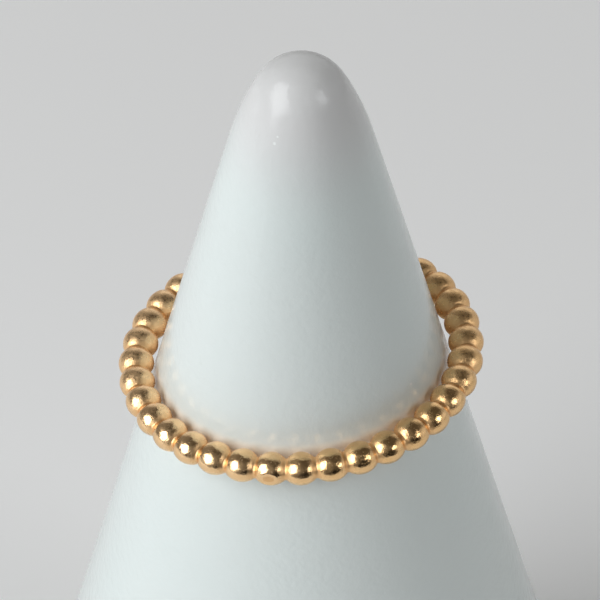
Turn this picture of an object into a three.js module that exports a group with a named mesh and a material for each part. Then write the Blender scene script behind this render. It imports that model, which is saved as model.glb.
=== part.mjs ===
// A stackable ring of beaded wire, resting on the plain glazed cone that holds it.
// Sizes are in millimetres and +Z is up. The origin is the centre of the cone's underside.
import * as THREE from "three";
import { ParametricGeometry } from "three/addons/geometries/ParametricGeometry.js";

const degree = Math.PI / 180;
const fullTurn = 2 * Math.PI;

// Beaded band: a wire rolled into beads, bent to a circle and soldered closed
const bandInnerDiameter = 16.7; // the finger's size, between the beads' inner faces
const beadThickness = 2.02; // a bead across the wire, from the finger outwards
const beadHeight = 1.8; // a bead across the wire, along the finger
const beadSpacing = 1.68; // from bead to bead, along the middle of the wire
const neckThickness = 1.28; // the wire between two beads, from the finger outwards
const beadSides = 14; // faces round the wire
const beadRows = 8; // faces along each bead

// How the band lies on the cone
const bandLean = 4.9 * degree; // out of level
const bandLowSide = 156 * degree; // the way that it leans, from +X towards +Y
const firstBead = -80 * degree; // the place of one bead, from +X towards +Y
const seatClearance = 0.1; // between the beads and the cone

// Cone stand: a slip-cast shell with a round tip, open underneath
const coneHeight = 62;
const sideAngle = 14 * degree; // the straight side, from the upright
const shoulderAngle = 26 * degree; // the side where the tip begins, from the upright
const shoulderRadius = 21; // the long curve between the straight side and the tip
const tipRadius = 2.85;
const coneWall = 2.8;
const hollowTipRadius = 2; // the rounded top of the hollow
const footEdgeRadius = 0.8; // the softened outer edge of the foot
const coneSides = 64;

// The straight side is where the cone's radius falls evenly with height
const tipCentreHeight = coneHeight - tipRadius;
const shoulderCentreX = (tipRadius - shoulderRadius) * Math.cos(shoulderAngle);
const shoulderCentreHeight = tipCentreHeight + (tipRadius - shoulderRadius) * Math.sin(shoulderAngle);
const sideTopRadius = shoulderCentreX + shoulderRadius * Math.cos(sideAngle);
const sideTopHeight = shoulderCentreHeight + shoulderRadius * Math.sin(sideAngle);
const sideSlope = Math.tan(sideAngle);
const footRadius = sideTopRadius + sideTopHeight * sideSlope; // where the side would meet the floor

const bandRadius = (bandInnerDiameter + beadThickness) / 2; // to the middle of the wire
const beadCount = Math.round((fullTurn * bandRadius) / beadSpacing);

function arcPoints(centreX, centreY, radius, from, to, steps) {
  return new THREE.EllipseCurve(centreX, centreY, radius, radius, from, to, to < from).getPoints(steps);
}

// Half the wire's thickness at a place along a bead, from -0.5 at one neck to 0.5 at the other.
// A bead is a ball, and a fillet at each end leads into the neck.
function halfThickness(alongBead) {
  const ball = beadThickness / 2;
  const neck = neckThickness / 2;
  const toNeck = (bandRadius * Math.PI) / beadCount;
  const fillet = Math.max(0, (toNeck ** 2 + neck ** 2 - ball ** 2) / (2 * (ball - neck)));
  const fromMiddle = Math.abs(alongBead) * 2 * toNeck;
  if (fromMiddle < (ball * toNeck) / (ball + fillet)) {
    return Math.sqrt(ball ** 2 - fromMiddle ** 2);
  }
  return neck + fillet - Math.sqrt(fillet ** 2 - (toNeck - fromMiddle) ** 2);
}

// A point on the band: u runs round the ring from bead to bead, v round the wire
function bandSurface(u, v, target) {
  const row = Math.round(u * beadCount * beadRows) % (beadCount * beadRows);
  const alongBead = (row % beadRows) / beadRows - 0.5;
  const turn = ((Math.floor(row / beadRows) + alongBead) * fullTurn) / beadCount;
  const roundWire = (Math.round(v * beadSides) % beadSides) * (fullTurn / beadSides);
  const outward = halfThickness(alongBead) * Math.cos(roundWire);
  const upward = halfThickness(alongBead) * (beadHeight / beadThickness) * Math.sin(roundWire);
  const radius = bandRadius + outward;
  target.set(radius * Math.cos(turn), radius * Math.sin(turn), upward);
}

// The level at which the leaning band meets the cone all round, with its clearance.
// A leaning plane cuts the cone in an ellipse, which is longer than the level circle.
function bandSeatRadius() {
  const beadReach = Math.hypot(
    (beadThickness / 2) * Math.cos(sideAngle),
    (beadHeight / 2) * Math.sin(sideAngle),
  );
  const halfLength = bandRadius - (beadReach + seatClearance) / Math.cos(sideAngle);
  const stretch = Math.cos(bandLean) - (sideSlope * Math.sin(bandLean)) ** 2 / Math.cos(bandLean);
  return halfLength * stretch;
}

function makeBeadedBand() {
  const polishedGold = new THREE.MeshStandardMaterial({ color: 0xd9a869, roughness: 0.18, metalness: 1 });
  const band = new THREE.Mesh(
    new ParametricGeometry(bandSurface, beadCount * beadRows, beadSides),
    polishedGold,
  );
  band.name = "beaded_band";
  band.rotation.z = firstBead - bandLowSide;

  const leaningBand = new THREE.Group();
  leaningBand.rotation.y = bandLean;
  leaningBand.add(band);

  const seatRadius = bandSeatRadius();
  const slip = seatRadius * sideSlope * Math.tan(bandLean); // towards the low side
  const seatedBand = new THREE.Group();
  seatedBand.rotation.z = bandLowSide;
  seatedBand.position.set(
    slip * Math.cos(bandLowSide),
    slip * Math.sin(bandLowSide),
    (footRadius - seatRadius) / sideSlope,
  );
  seatedBand.add(leaningBand);
  return seatedBand;
}

function makeConeStand() {
  const hollowFootRadius = footRadius - coneWall / Math.cos(sideAngle);
  const hollowTipHeight = (hollowFootRadius - hollowTipRadius / Math.cos(sideAngle)) / sideSlope;
  const footEdgeX = footRadius - (footEdgeRadius * (1 + Math.sin(sideAngle))) / Math.cos(sideAngle);
  const upright = 90 * degree;
  const section = [
    ...arcPoints(0, hollowTipHeight, hollowTipRadius, upright, sideAngle, 8),
    new THREE.Vector2(hollowFootRadius, 0),
    ...arcPoints(footEdgeX, footEdgeRadius, footEdgeRadius, -upright, sideAngle, 6),
    ...arcPoints(shoulderCentreX, shoulderCentreHeight, shoulderRadius, sideAngle, shoulderAngle, 4),
    ...arcPoints(0, tipCentreHeight, tipRadius, shoulderAngle, upright, 10).slice(1),
  ];
  const whiteGlaze = new THREE.MeshStandardMaterial({ color: 0xdfe5e3, roughness: 0.15, metalness: 0 });
  const cone = new THREE.Mesh(new THREE.LatheGeometry(section, coneSides), whiteGlaze);
  cone.name = "cone_stand";
  cone.rotation.x = upright; // the section is drawn with its height along Y
  return cone;
}

const ringOnCone = new THREE.Group();
ringOnCone.add(makeBeadedBand());
ringOnCone.add(makeConeStand());

export default ringOnCone;
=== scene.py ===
# Dresses a stackable ring of gold beads and the glazed cone that holds it.
# Everything is in metres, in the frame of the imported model: +Z up, the cone's foot on the floor.
import math

import bmesh
import bpy
from mathutils import Matrix, Quaternion, Vector


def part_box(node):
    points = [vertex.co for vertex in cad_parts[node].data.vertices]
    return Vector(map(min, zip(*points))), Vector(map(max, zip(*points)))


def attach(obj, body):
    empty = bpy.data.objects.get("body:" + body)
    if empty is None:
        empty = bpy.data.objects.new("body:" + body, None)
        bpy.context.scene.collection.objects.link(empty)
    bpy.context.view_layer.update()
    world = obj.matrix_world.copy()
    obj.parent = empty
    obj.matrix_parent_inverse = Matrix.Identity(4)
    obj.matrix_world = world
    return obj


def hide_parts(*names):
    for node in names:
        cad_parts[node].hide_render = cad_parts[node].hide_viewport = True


mm = 0.001
degree = math.pi / 180

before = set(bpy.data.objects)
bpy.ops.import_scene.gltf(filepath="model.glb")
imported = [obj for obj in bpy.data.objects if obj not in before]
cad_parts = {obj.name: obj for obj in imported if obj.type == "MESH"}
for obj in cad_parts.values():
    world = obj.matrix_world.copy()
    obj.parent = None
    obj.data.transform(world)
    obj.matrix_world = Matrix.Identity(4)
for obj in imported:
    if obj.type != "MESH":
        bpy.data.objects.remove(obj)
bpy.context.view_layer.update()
scene = bpy.context.scene
print("frame loaded")


# Helpers for meshes and node trees

def pieceFromBmesh(name, bm, smooth=True):
    mesh = bpy.data.meshes.new(name)
    bm.to_mesh(mesh)
    bm.free()
    for face in mesh.polygons:
        face.use_smooth = smooth
    piece = bpy.data.objects.new(name, mesh)
    scene.collection.objects.link(piece)
    return piece


def addChain(bm, points):
    # a line of vertices joined by edges, to be spun
    verts = [bm.verts.new(point) for point in points]
    edges = [bm.edges.new(pair) for pair in zip(verts, verts[1:])]
    return verts + edges


def spinChain(bm, chain, axis, steps):
    bmesh.ops.spin(bm, geom=chain, cent=(0, 0, 0), axis=axis, dvec=(0, 0, 0),
                   angle=2 * math.pi, steps=steps, use_merge=True)
    # spin's order of edges and faces differs from run to run, and a later cut would show it
    bm.verts.index_update()
    count = len(bm.verts)

    def order(part):
        places = [vert.index for vert in part.verts]
        return min(places) * count + max(places)

    bm.edges.sort(key=order)
    bm.faces.sort(key=order)


def arc(centreX, centreY, radius, start, end, steps):
    # points along an arc, with angles from the first axis
    turns = [start + (end - start) * i / steps for i in range(steps + 1)]
    return [(centreX + radius * math.cos(t), centreY + radius * math.sin(t)) for t in turns]


def newMaterial(name):
    material = bpy.data.materials.new(name)
    material.use_nodes = True
    nodes = material.node_tree.nodes
    return material, nodes, material.node_tree.links, nodes["Principled BSDF"]


def noiseNode(nodes, links, place, grain):
    noise = nodes.new("ShaderNodeTexNoise")
    noise.inputs["Scale"].default_value = grain["scale"]
    noise.inputs["Detail"].default_value = grain["detail"]
    noise.inputs["Roughness"].default_value = grain.get("roughness", 0.5)
    links.new(place, noise.inputs["Vector"])
    return noise.outputs["Fac"]


def rampNode(nodes, links, value, stops):
    # pairs of a position and a colour or a grey
    stops = list(stops)
    ramp = nodes.new("ShaderNodeValToRGB")
    elements = ramp.color_ramp.elements
    while len(elements) < len(stops):
        elements.new(0.5)
    for element, (position, colour) in zip(elements, stops):
        element.position = position
        element.color = (*colour, 1) if isinstance(colour, tuple) else (colour, colour, colour, 1)
    links.new(value, ramp.inputs["Fac"])
    return ramp.outputs["Color"]


def mapNode(nodes, links, value, start, end):
    # 0 at the start and 1 at the end, eased
    share = nodes.new("ShaderNodeMapRange")
    share.interpolation_type = "SMOOTHSTEP"
    share.inputs["From Min"].default_value = min(start, end)
    share.inputs["From Max"].default_value = max(start, end)
    if start > end:
        share.inputs["To Min"].default_value, share.inputs["To Max"].default_value = 1, 0
    links.new(value, share.inputs["Value"])
    return share.outputs["Result"]


def mixNode(nodes, links, share, below, above):
    # below is a socket, and above is a socket or a colour
    mix = nodes.new("ShaderNodeMix")
    mix.data_type = "RGBA"
    links.new(share, mix.inputs["Factor"])
    links.new(below, mix.inputs["A"])
    if isinstance(above, tuple):
        mix.inputs["B"].default_value = (*above, 1)
    else:
        links.new(above, mix.inputs["B"])
    return mix.outputs["Result"]


def dotNode(nodes, links, vector, direction):
    dot = nodes.new("ShaderNodeVectorMath")
    dot.operation = "DOT_PRODUCT"
    links.new(vector, dot.inputs[0])
    dot.inputs[1].default_value = direction
    return dot.outputs["Value"]


def bumpNode(nodes, links, height, relief, below=None):
    # a relief without a strength gets it from a link
    bump = nodes.new("ShaderNodeBump")
    bump.inputs["Strength"].default_value = relief.get("strength", 1)
    bump.inputs["Distance"].default_value = relief["depth"]
    links.new(height, bump.inputs["Height"])
    if below:
        links.new(below, bump.inputs["Normal"])
    return bump.outputs["Normal"]


# Polished gold

gold = {
    "body": (0.93, 0.605, 0.30),
    "warmPatch": (0.89, 0.56, 0.255),
    "litSideTone": (0.98, 0.66, 0.36),  # painted light: the band is paler on its left side, towards the window
    # painted shade and reflection in the necks between beads, where they mirror each other; on a mark's face
    # it is the tone of its wear
    "neckShadeAndWornTone": (0.88, 0.545, 0.26),
    "polish": 0.10,
    "dull": 0.32,
    "satinPolish": 0.22,  # at the sides and the back, where the band is less worn
    "satinDull": 0.46,
    "neckDull": 0.45,
    "neckStops": (0.55, 1.0),  # shares of the way from a bead's middle to its neck
    "litSideFrom": 4 * mm,  # along X
    "litSideTo": -8 * mm,
    "satinFrom": -6.5 * mm,  # along Y
    "satinTo": -0.5 * mm,
    "patches": {"scale": 900, "detail": 4, "stops": (0.35, 0.65)},
    "wear": {"scale": 5200, "detail": 5, "roughness": 0.62, "stops": (0.40, 0.70), "satinStops": (0.38, 0.62)},
    "ripple": {"scale": 1900, "detail": 2, "strength": 0.5, "depth": 0.07 * mm},
    "grain": {"scale": 7000, "detail": 4, "roughness": 0.6, "depth": 0.05 * mm},
    "grainStrengths": [(0.3, 0.25), (0.85, 0.5)],  # stronger towards a neck
}


def makeGold():
    material, nodes, links, shader = newMaterial("polishedGold")
    place = nodes.new("ShaderNodeTexCoord").outputs["Object"]
    axes = nodes.new("ShaderNodeSeparateXYZ")
    links.new(place, axes.inputs["Vector"])
    neck = nodes.new("ShaderNodeAttribute")
    neck.attribute_name = "neckShare"
    neckStart = rampNode(nodes, links, neck.outputs["Fac"], zip(gold["neckStops"], (0.0, 1.0)))

    cloud = noiseNode(nodes, links, place, gold["patches"])
    patches = rampNode(nodes, links, cloud, zip(gold["patches"]["stops"], (gold["warmPatch"], gold["body"])))
    # painted light: paler towards the band's left side, where the window light falls
    litSideShare = mapNode(nodes, links, axes.outputs["X"], gold["litSideFrom"], gold["litSideTo"])
    tone = mixNode(nodes, links, litSideShare, patches, gold["litSideTone"])
    # painted shade and reflection: a deeper, darker gold in the necks between beads; the same tone on a mark's
    # worn face
    links.new(mixNode(nodes, links, neckStart, tone, gold["neckShadeAndWornTone"]), shader.inputs["Base Color"])

    wear = noiseNode(nodes, links, place, gold["wear"])
    rough = rampNode(nodes, links, wear, zip(gold["wear"]["stops"], (gold["polish"], gold["dull"])))
    satinTones = (gold["satinPolish"], gold["satinDull"])
    satin = rampNode(nodes, links, wear, zip(gold["wear"]["satinStops"], satinTones))
    towardsBack = mapNode(nodes, links, axes.outputs["Y"], gold["satinFrom"], gold["satinTo"])
    gloss = mixNode(nodes, links, towardsBack, rough, satin)
    links.new(mixNode(nodes, links, neckStart, gloss, (gold["neckDull"],) * 3), shader.inputs["Roughness"])

    ripple = bumpNode(nodes, links, noiseNode(nodes, links, place, gold["ripple"]), gold["ripple"])
    grain = bumpNode(nodes, links, noiseNode(nodes, links, place, gold["grain"]), gold["grain"], ripple)
    grainStrength = rampNode(nodes, links, neck.outputs["Fac"], gold["grainStrengths"])
    links.new(grainStrength, grain.node.inputs["Strength"])
    links.new(grain, shader.inputs["Normal"])
    shader.inputs["Metallic"].default_value = 1.0
    return material


# Beaded band: a bead is a ball with a fillet into each neck, and thirty-five of them close the circle

band = {
    "beadCount": 35,
    "wireRadius": 9.36 * mm,  # the ring's axis to the middle of the wire
    "beadRadius": 1.01 * mm,  # from the finger outwards
    "beadHalfHeight": 0.9 * mm,  # along the finger
    "neckRadius": 0.64 * mm,
    "lean": 4.9 * degree,
    "lowSide": 156 * degree,
    "firstBead": -80 * degree,
    "facesRound": 40,
    "facesAlong": 18,
    "facesInFillet": 3,
    "mergeInBead": 0.0005 * mm,
    "mergeBeads": 0.002 * mm,
    "mergeAtCut": 0.035 * mm,  # leaves no slivers along a mark's cut
    "marks": {
        # a worn flat at the bead's outer side
        33: {"tilt": 0, "reach": 0.905 * mm, "dish": 0, "worn": 1},
        # a knock, outwards and up
        1: {"tilt": 39 * degree, "reach": 0.925 * mm, "dish": 0.022 * mm, "worn": 0.3},
    },
    # rings inwards from a mark's rim: their widths, and how much of the dish each goes down
    "markRings": [(0.05 * mm, 0), (0.08 * mm, 1), (0.08 * mm, 1)],
    "markRimSoftness": 0.03 * mm,
}


def beadProfile():
    # half a bead's outline along the wire (y) at its outer side (x): a ball, and the fillet into the neck
    ball, neck = band["beadRadius"], band["neckRadius"]
    halfPitch = band["wireRadius"] * math.tan(math.pi / band["beadCount"])
    fillet = (halfPitch ** 2 + neck ** 2 - ball ** 2) / (2 * (ball - neck))
    meet = math.atan2(halfPitch, neck + fillet)
    steps = band["facesAlong"] // 2
    side = arc(0, 0, ball, 0, meet, steps)
    joint = arc(neck + fillet, halfPitch, fillet, meet + math.pi, math.pi, band["facesInFillet"])
    half = [(x, y, 0) for x, y in side + joint[1:]]
    return [(x, -y, z) for x, y, z in reversed(half[1:])] + half


def markBead(bm, mark):
    # a flat cut with a softened rim, pressed in a little where it is dished
    facing = Vector((math.cos(mark["tilt"]), 0, math.sin(mark["tilt"])))
    cut = bmesh.ops.bisect_plane(bm, geom=bm.verts[:] + bm.edges[:] + bm.faces[:], clear_outer=True,
                                 plane_co=facing * mark["reach"], plane_no=facing)
    rim = [part for part in cut["geom_cut"] if isinstance(part, bmesh.types.BMVert)]
    near = {edge.other_vert(vert) for vert in rim for edge in vert.link_edges} | set(rim)
    inOrder = [vert for vert in bm.verts if vert in near]  # a set has no fixed order
    bmesh.ops.remove_doubles(bm, verts=inOrder, dist=band["mergeAtCut"])
    rim = [edge for edge in bm.edges if edge.is_boundary and abs(edge.verts[0].co.y) < band["beadRadius"] / 2]
    flat = bmesh.ops.edgeloop_fill(bm, edges=rim)["faces"]
    for width, share in band["markRings"]:
        bmesh.ops.inset_individual(bm, faces=flat, thickness=width, depth=-mark["dish"] * share)
    worn = bm.verts.layers.float.new("worn")
    for vert in {vert for face in flat for vert in face.verts}:
        vert[worn] = mark["worn"]
    bmesh.ops.bevel(bm, geom=rim, offset=band["markRimSoftness"], affect="EDGES",
                    segments=3, profile=0.5, material=-1)


def beadMesh(mark=None):
    bm = bmesh.new()
    chain = addChain(bm, beadProfile())
    spinChain(bm, chain, (0, 1, 0), band["facesRound"])
    bmesh.ops.remove_doubles(bm, verts=bm.verts, dist=band["mergeInBead"])
    bmesh.ops.scale(bm, verts=bm.verts, vec=(1, 1, band["beadHalfHeight"] / band["beadRadius"]))
    if mark:
        markBead(bm, mark)
    for vert in bm.verts:
        vert.co.y *= 1 + vert.co.x / band["wireRadius"]  # the ends lie in planes through the ring's axis
    bmesh.ops.recalc_face_normals(bm, faces=bm.faces)
    mesh = bpy.data.meshes.new("bead")
    bm.to_mesh(mesh)
    bm.free()
    return mesh


def ringPlace():
    # the CAD band's middle, its lean towards the low side, and the turn to its first bead
    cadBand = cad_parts["beaded_band"].data.vertices
    middle = sum((v.co for v in cadBand), Vector()) / len(cadBand)
    turnBack = Matrix.Rotation(-band["lowSide"], 4, "Z")
    lean = Matrix.Rotation(band["lowSide"], 4, "Z") @ Matrix.Rotation(band["lean"], 4, "Y") @ turnBack
    return Matrix.Translation(middle) @ lean @ Matrix.Rotation(band["firstBead"], 4, "Z")


def makeBeadedBand():
    bm = bmesh.new()
    bead = beadMesh()
    pitch = 2 * math.pi / band["beadCount"]
    for i in range(band["beadCount"]):
        before = len(bm.verts)
        bm.from_mesh(beadMesh(band["marks"][i]) if i in band["marks"] else bead)
        bm.verts.ensure_lookup_table()
        added = bm.verts[before:]
        bmesh.ops.translate(bm, verts=added, vec=(band["wireRadius"], 0, 0))
        bmesh.ops.rotate(bm, verts=added, cent=(0, 0, 0), matrix=Matrix.Rotation(i * pitch, 3, "Z"))
    bmesh.ops.remove_doubles(bm, verts=bm.verts, dist=band["mergeBeads"])

    def neckShare(vert):
        # 0 at a bead's middle and 1 at its neck
        turn = math.atan2(vert.co.y, vert.co.x) / pitch
        return abs(turn - round(turn)) * 2

    bmesh.ops.recalc_face_normals(bm, faces=bm.faces)
    worn = bm.verts.layers.float["worn"]
    share = bm.verts.layers.float.new("neckShare")
    for vert in bm.verts:
        vert[share] = max(neckShare(vert), vert[worn])
    bm.transform(ringPlace())
    piece = pieceFromBmesh("goldBeadedBand", bm)
    piece.data.materials.append(makeGold())
    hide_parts("beaded_band")
    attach(piece, "root")
    return piece


beadedBand = makeBeadedBand()
print("beaded band made,", len(beadedBand.data.polygons), "faces")


# White glaze, and the bare porcelain of the foot

glaze = {
    "body": (0.68, 0.745, 0.732),
    "thin": (0.695, 0.74, 0.725),
    "tip": (0.665, 0.665, 0.66),  # painted shade: darker and greyer at the tip, for the dimmer, warmer light from above
    "besideRing": (0.86, 0.80, 0.69),  # gold light that the beads throw on it
    "besideFrom": -1.0 * mm,  # heights above the ring's middle, square to its plane
    "besideTo": 0.75 * mm,
    "besideCore": 0.2,  # the share of that band which has the full tone
    "gloss": 0.19,
    "glossRange": (0.8, 1.3),
    "tipGloss": 0.24,
    "tipFrom": 54 * mm,  # along Z
    "tipTo": 60 * mm,
    "refraction": 1.43,
    "cloud": {"scale": 60, "detail": 3, "stops": (0.3, 0.7)},
    "haze": {"scale": 220, "detail": 4, "stops": (0.3, 0.7)},
    "wave": {"scale": 110, "detail": 2, "strength": 0.15, "depth": 0.05 * mm},
    "peel": {"scale": 2200, "detail": 3, "strength": 0.5, "depth": 0.05 * mm},
    "glintCore": 0.3,  # the share of a glint's radius which has the full tone
    "glintTone": (0.80, 0.825, 0.815),
    "glintSpots": {  # painted highlights: glints of window light on pinhead bumps in the glaze; place in millimetres, and radius
        (-1.50, -2.93, 58.71): 0.13,
        (-1.33, -2.84, 59.12): 0.09,
        (5.98, -4.69, 42.09): 0.12,
    },
}


def besideRingShare(nodes, links, place):
    # 1 on the glaze beside the ring, fading out above and below it
    ring = ringPlace()
    square = ring.to_3x3() @ Vector((0, 0, 1))
    height = dotNode(nodes, links, place, square)
    middle = ring.translation.dot(square) + (glaze["besideFrom"] + glaze["besideTo"]) / 2
    reach = (glaze["besideTo"] - glaze["besideFrom"]) / 2
    core = reach * glaze["besideCore"]
    fromAbove = mapNode(nodes, links, height, middle + reach, middle + core)
    fromBelow = mapNode(nodes, links, height, middle - reach, middle - core)
    both = nodes.new("ShaderNodeMath")
    both.operation = "MULTIPLY"
    links.new(fromAbove, both.inputs[0])
    links.new(fromBelow, both.inputs[1])
    return both.outputs["Value"]


def makeGlaze():
    material, nodes, links, shader = newMaterial("whiteGlaze")
    place = nodes.new("ShaderNodeTexCoord").outputs["Object"]
    axes = nodes.new("ShaderNodeSeparateXYZ")
    links.new(place, axes.inputs["Vector"])
    nearTip = mapNode(nodes, links, axes.outputs["Z"], glaze["tipFrom"], glaze["tipTo"])

    cloud = noiseNode(nodes, links, place, glaze["cloud"])
    tone = rampNode(nodes, links, cloud, zip(glaze["cloud"]["stops"], (glaze["thin"], glaze["body"])))
    # painted shade: darker and greyer towards the tip
    tone = mixNode(nodes, links, nearTip, tone, glaze["tip"])
    # painted highlights: small lighter spots where the glaze catches the window light
    for glintSpot, radius in glaze["glintSpots"].items():
        away = nodes.new("ShaderNodeVectorMath")
        away.operation = "DISTANCE"
        links.new(place, away.inputs[0])
        away.inputs[1].default_value = Vector(glintSpot) * mm
        core = radius * glaze["glintCore"]
        inside = mapNode(nodes, links, away.outputs["Value"], radius * mm, core * mm)
        tone = mixNode(nodes, links, inside, tone, glaze["glintTone"])
    tone = mixNode(nodes, links, besideRingShare(nodes, links, place), tone, glaze["besideRing"])
    links.new(tone, shader.inputs["Base Color"])

    haze = noiseNode(nodes, links, place, glaze["haze"])
    glosses = [glaze["gloss"] * share for share in glaze["glossRange"]]
    gloss = rampNode(nodes, links, haze, zip(glaze["haze"]["stops"], glosses))
    links.new(mixNode(nodes, links, nearTip, gloss, (glaze["tipGloss"],) * 3), shader.inputs["Roughness"])

    wave = bumpNode(nodes, links, noiseNode(nodes, links, place, glaze["wave"]), glaze["wave"])
    peel = bumpNode(nodes, links, noiseNode(nodes, links, place, glaze["peel"]), glaze["peel"], wave)
    links.new(peel, shader.inputs["Normal"])
    shader.inputs["IOR"].default_value = glaze["refraction"]
    return material


porcelain = {
    "dark": (0.74, 0.70, 0.63),
    "light": (0.83, 0.80, 0.74),
    "dull": 0.75,
    "grit": {
        "scale": 2500, "detail": 6, "roughness": 0.6, "stops": (0.3, 0.7), "strength": 0.4, "depth": 0.03 * mm,
    },
}


def makeBarePorcelain():
    material, nodes, links, shader = newMaterial("barePorcelain")
    place = nodes.new("ShaderNodeTexCoord").outputs["Object"]
    grit = noiseNode(nodes, links, place, porcelain["grit"])
    tones = (porcelain["dark"], porcelain["light"])
    tone = rampNode(nodes, links, grit, zip(porcelain["grit"]["stops"], tones))
    links.new(tone, shader.inputs["Base Color"])
    links.new(bumpNode(nodes, links, grit, porcelain["grit"]), shader.inputs["Normal"])
    shader.inputs["Roughness"].default_value = porcelain["dull"]
    return material


# Cone stand: the same section as the solid, spun finely

cone = {
    "sideAngle": 14 * degree,
    "shoulderAngle": 26 * degree,
    "shoulderRadius": 21 * mm,
    "tipRadius": 2.85 * mm,
    "wall": 2.8 * mm,
    "hollowTipRadius": 2 * mm,
    "footEdgeRadius": 0.8 * mm,
    "facesRound": 360,
    "facesInHollowTip": 14,
    "facesInFootEdge": 10,
    "facesInShoulder": 30,
    "facesInTip": 24,
    "easedFrom": 58.6 * mm,  # heights between which the join of shoulder and tip is eased
    "easedTo": 61.5 * mm,
    "easings": 16,
    "merge": 0.001 * mm,
    "bareBelow": 0.02 * mm,  # the flat of the foot has no glaze
}


def coneSection():
    side, shoulder = cone["sideAngle"], cone["shoulderAngle"]
    upright = math.pi / 2
    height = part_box("cone_stand")[1].z
    tipHeight = height - cone["tipRadius"]
    reach = cone["shoulderRadius"] - cone["tipRadius"]
    shoulderX = -reach * math.cos(shoulder)
    shoulderHeight = tipHeight - reach * math.sin(shoulder)
    sideTop = shoulderX + cone["shoulderRadius"] * math.cos(side)
    sideTopHeight = shoulderHeight + cone["shoulderRadius"] * math.sin(side)
    foot = sideTop + sideTopHeight * math.tan(side)
    hollowFoot = foot - cone["wall"] / math.cos(side)
    hollowHeight = (hollowFoot - cone["hollowTipRadius"] / math.cos(side)) / math.tan(side)
    edge = cone["footEdgeRadius"]
    edgeX = foot - edge * (1 + math.sin(side)) / math.cos(side)
    return (
        arc(0, hollowHeight, cone["hollowTipRadius"], upright, side, cone["facesInHollowTip"])
        + [(hollowFoot, 0)]
        + arc(edgeX, edge, edge, -upright, side, cone["facesInFootEdge"])
        + arc(shoulderX, shoulderHeight, cone["shoulderRadius"], side, shoulder, cone["facesInShoulder"])
        + arc(0, tipHeight, cone["tipRadius"], shoulder, upright, cone["facesInTip"])[1:]
    )


def makeConeStand():
    bm = bmesh.new()
    chain = addChain(bm, [(x, 0, z) for x, z in coneSection()])
    joint = [vert for vert in bm.verts if cone["easedFrom"] < vert.co.z < cone["easedTo"]]
    for _ in range(cone["easings"]):
        bmesh.ops.smooth_vert(bm, verts=joint, factor=0.5, use_axis_x=True, use_axis_z=True)
    spinChain(bm, chain, (0, 0, 1), cone["facesRound"])
    bmesh.ops.remove_doubles(bm, verts=bm.verts, dist=cone["merge"])
    bmesh.ops.recalc_face_normals(bm, faces=bm.faces)
    for face in bm.faces:
        if max(vert.co.z for vert in face.verts) < cone["bareBelow"]:
            face.material_index = 1  # bare porcelain
    piece = pieceFromBmesh("glazedCone", bm)
    piece.data.materials.append(makeGlaze())
    piece.data.materials.append(makeBarePorcelain())
    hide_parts("cone_stand")
    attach(piece, "root")
    return piece


glazedCone = makeConeStand()
print("cone stand made,", len(glazedCone.data.polygons), "faces")


# Floor, room and lights

room = {
    "floorHalf": 1.5,
    "floorFront": -0.13,  # its front edge, between the cone and the camera
    "floorTone": (0.92, 0.92, 0.915),
    "floorDull": 0.7,
    "seen": (0.62, 0.62, 0.62),  # what the camera sees past the floor
    # soft light from the room: where it comes from, the cosines at its edge and its core, and its strength
    "glows": [
        {"way": (0, 0.75, 0.66), "edge": -1.0, "core": 0.2, "tone": (0.083, 0.077, 0.067)},
        {"way": (0.98, 0.10, 0.05), "edge": 0.7, "core": 0.98, "tone": (0.600, 0.612, 0.636)},
        {"way": (0.20, 0.98, 0.05), "edge": 0.7, "core": 0.98, "tone": (0.700, 0.714, 0.731)},
        {"way": (-0.70, 0.65, 0.30), "edge": 0.5, "core": 0.95, "tone": (0.120, 0.120, 0.120)},
        {"way": (-0.60, -0.60, 0.50), "edge": 0.5, "core": 0.95, "tone": (0.190, 0.193, 0.197)},
    ],
}


def makeFloor():
    bm = bmesh.new()
    bmesh.ops.create_grid(bm, x_segments=1, y_segments=1, size=room["floorHalf"])
    bmesh.ops.translate(bm, verts=bm.verts, vec=(0, room["floorFront"] + room["floorHalf"], 0))
    floor = pieceFromBmesh("floor", bm, smooth=False)
    material, _, _, shader = newMaterial("paleFloor")
    shader.inputs["Base Color"].default_value = (*room["floorTone"], 1)
    shader.inputs["Roughness"].default_value = room["floorDull"]
    floor.data.materials.append(material)


def makeRoomLight():
    world = bpy.data.worlds.new("room")
    scene.world = world
    world.use_nodes = True
    nodes, links = world.node_tree.nodes, world.node_tree.links
    background = nodes["Background"]
    way = nodes.new("ShaderNodeTexCoord").outputs["Generated"]
    total = None
    for glow in room["glows"]:
        facing = dotNode(nodes, links, way, Vector(glow["way"]).normalized())
        share = mapNode(nodes, links, facing, glow["edge"], glow["core"])
        lit = nodes.new("ShaderNodeVectorMath")
        lit.operation = "MULTIPLY_ADD"
        links.new(share, lit.inputs[0])
        lit.inputs[1].default_value = glow["tone"]
        if total:
            links.new(total, lit.inputs[2])
        total = lit.outputs["Vector"]
    cameraRay = nodes.new("ShaderNodeLightPath").outputs["Is Camera Ray"]
    links.new(mixNode(nodes, links, cameraRay, total, room["seen"]), background.inputs["Color"])


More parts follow.
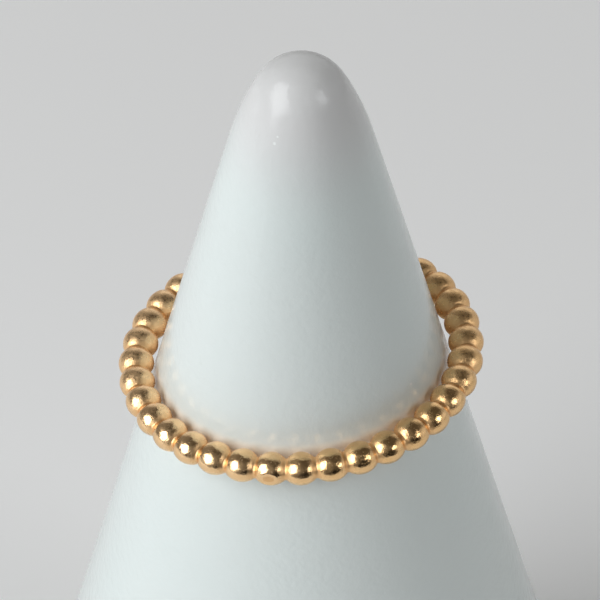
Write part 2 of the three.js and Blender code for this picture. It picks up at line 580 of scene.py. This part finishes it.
lights = {
    "tone": (0.98, 1.0, 1.02),
    "aim": (0, 0, 45 * mm),
    "all": [
        {
            "name": "window",
            "round": 27.5 * degree,  # from the left towards the camera
            "high": 31 * degree,  # above the floor
            "turn": 45 * degree,
            "distance": 0.60,
            "wide": 0.42,
            "tall": 0.58,
            "radiance": 4.6,
        },
        {
            "name": "lamp",
            "round": 149.4 * degree,
            "high": 33 * degree,
            "turn": 0,
            "distance": 0.50,
            "wide": 0.17,
            "tall": 0.19,
            "radiance": 4.1,
        },
    ],
}


def makeLights():
    for light in lights["all"]:
        data = bpy.data.lights.new(light["name"], "AREA")
        data.shape = "RECTANGLE"
        data.size, data.size_y = light["wide"], light["tall"]
        data.energy = light["radiance"] * math.pi * light["wide"] * light["tall"]
        data.color = lights["tone"]
        lamp = bpy.data.objects.new(light["name"], data)
        around, high = light["round"], light["high"]
        level = math.cos(high)
        way = Vector((-math.cos(around) * level, -math.sin(around) * level, math.sin(high)))
        lamp.location = Vector(lights["aim"]) + way * light["distance"]
        facing = way.to_track_quat("Z", "Y") @ Quaternion((0, 0, 1), light["turn"])
        lamp.rotation_euler = facing.to_euler()
        lamp.visible_camera = False
        scene.collection.objects.link(lamp)


makeFloor()
makeRoomLight()
makeLights()
print("floor and lights made")


# Camera at the photo's viewing angle

photoView = {
    "elevation": 43.04 * degree,
    "distance": 500 * mm,
    "focalPixels": 8901.07,
    "imagePixels": 600,
    "aimX": -0.186 * mm,
    "aimAboveRing": 4.496 * mm,
    "roll": -0.0102,  # in radians
    "sensor": 36,  # in millimetres
    "clip": (0.05, 20),
}


def makeCamera():
    data = bpy.data.cameras.new("camera")
    data.sensor_width = photoView["sensor"]
    data.lens = photoView["focalPixels"] / photoView["imagePixels"] * data.sensor_width
    data.clip_start, data.clip_end = photoView["clip"]
    camera = bpy.data.objects.new("camera", data)
    scene.collection.objects.link(camera)
    back = Vector((0, -math.cos(photoView["elevation"]), math.sin(photoView["elevation"])))
    ringHeight = ringPlace().translation.z
    aim = Vector((photoView["aimX"], 0, ringHeight + photoView["aimAboveRing"]))
    tilt = Matrix.Rotation(math.pi / 2 - photoView["elevation"], 4, "X")
    turn = Matrix.Rotation(photoView["roll"], 4, "Z")
    camera.matrix_world = Matrix.Translation(aim + back * photoView["distance"]) @ tilt @ turn
    scene.camera = camera


makeCamera()
scene.view_settings.view_transform = "Standard"
print("camera made")
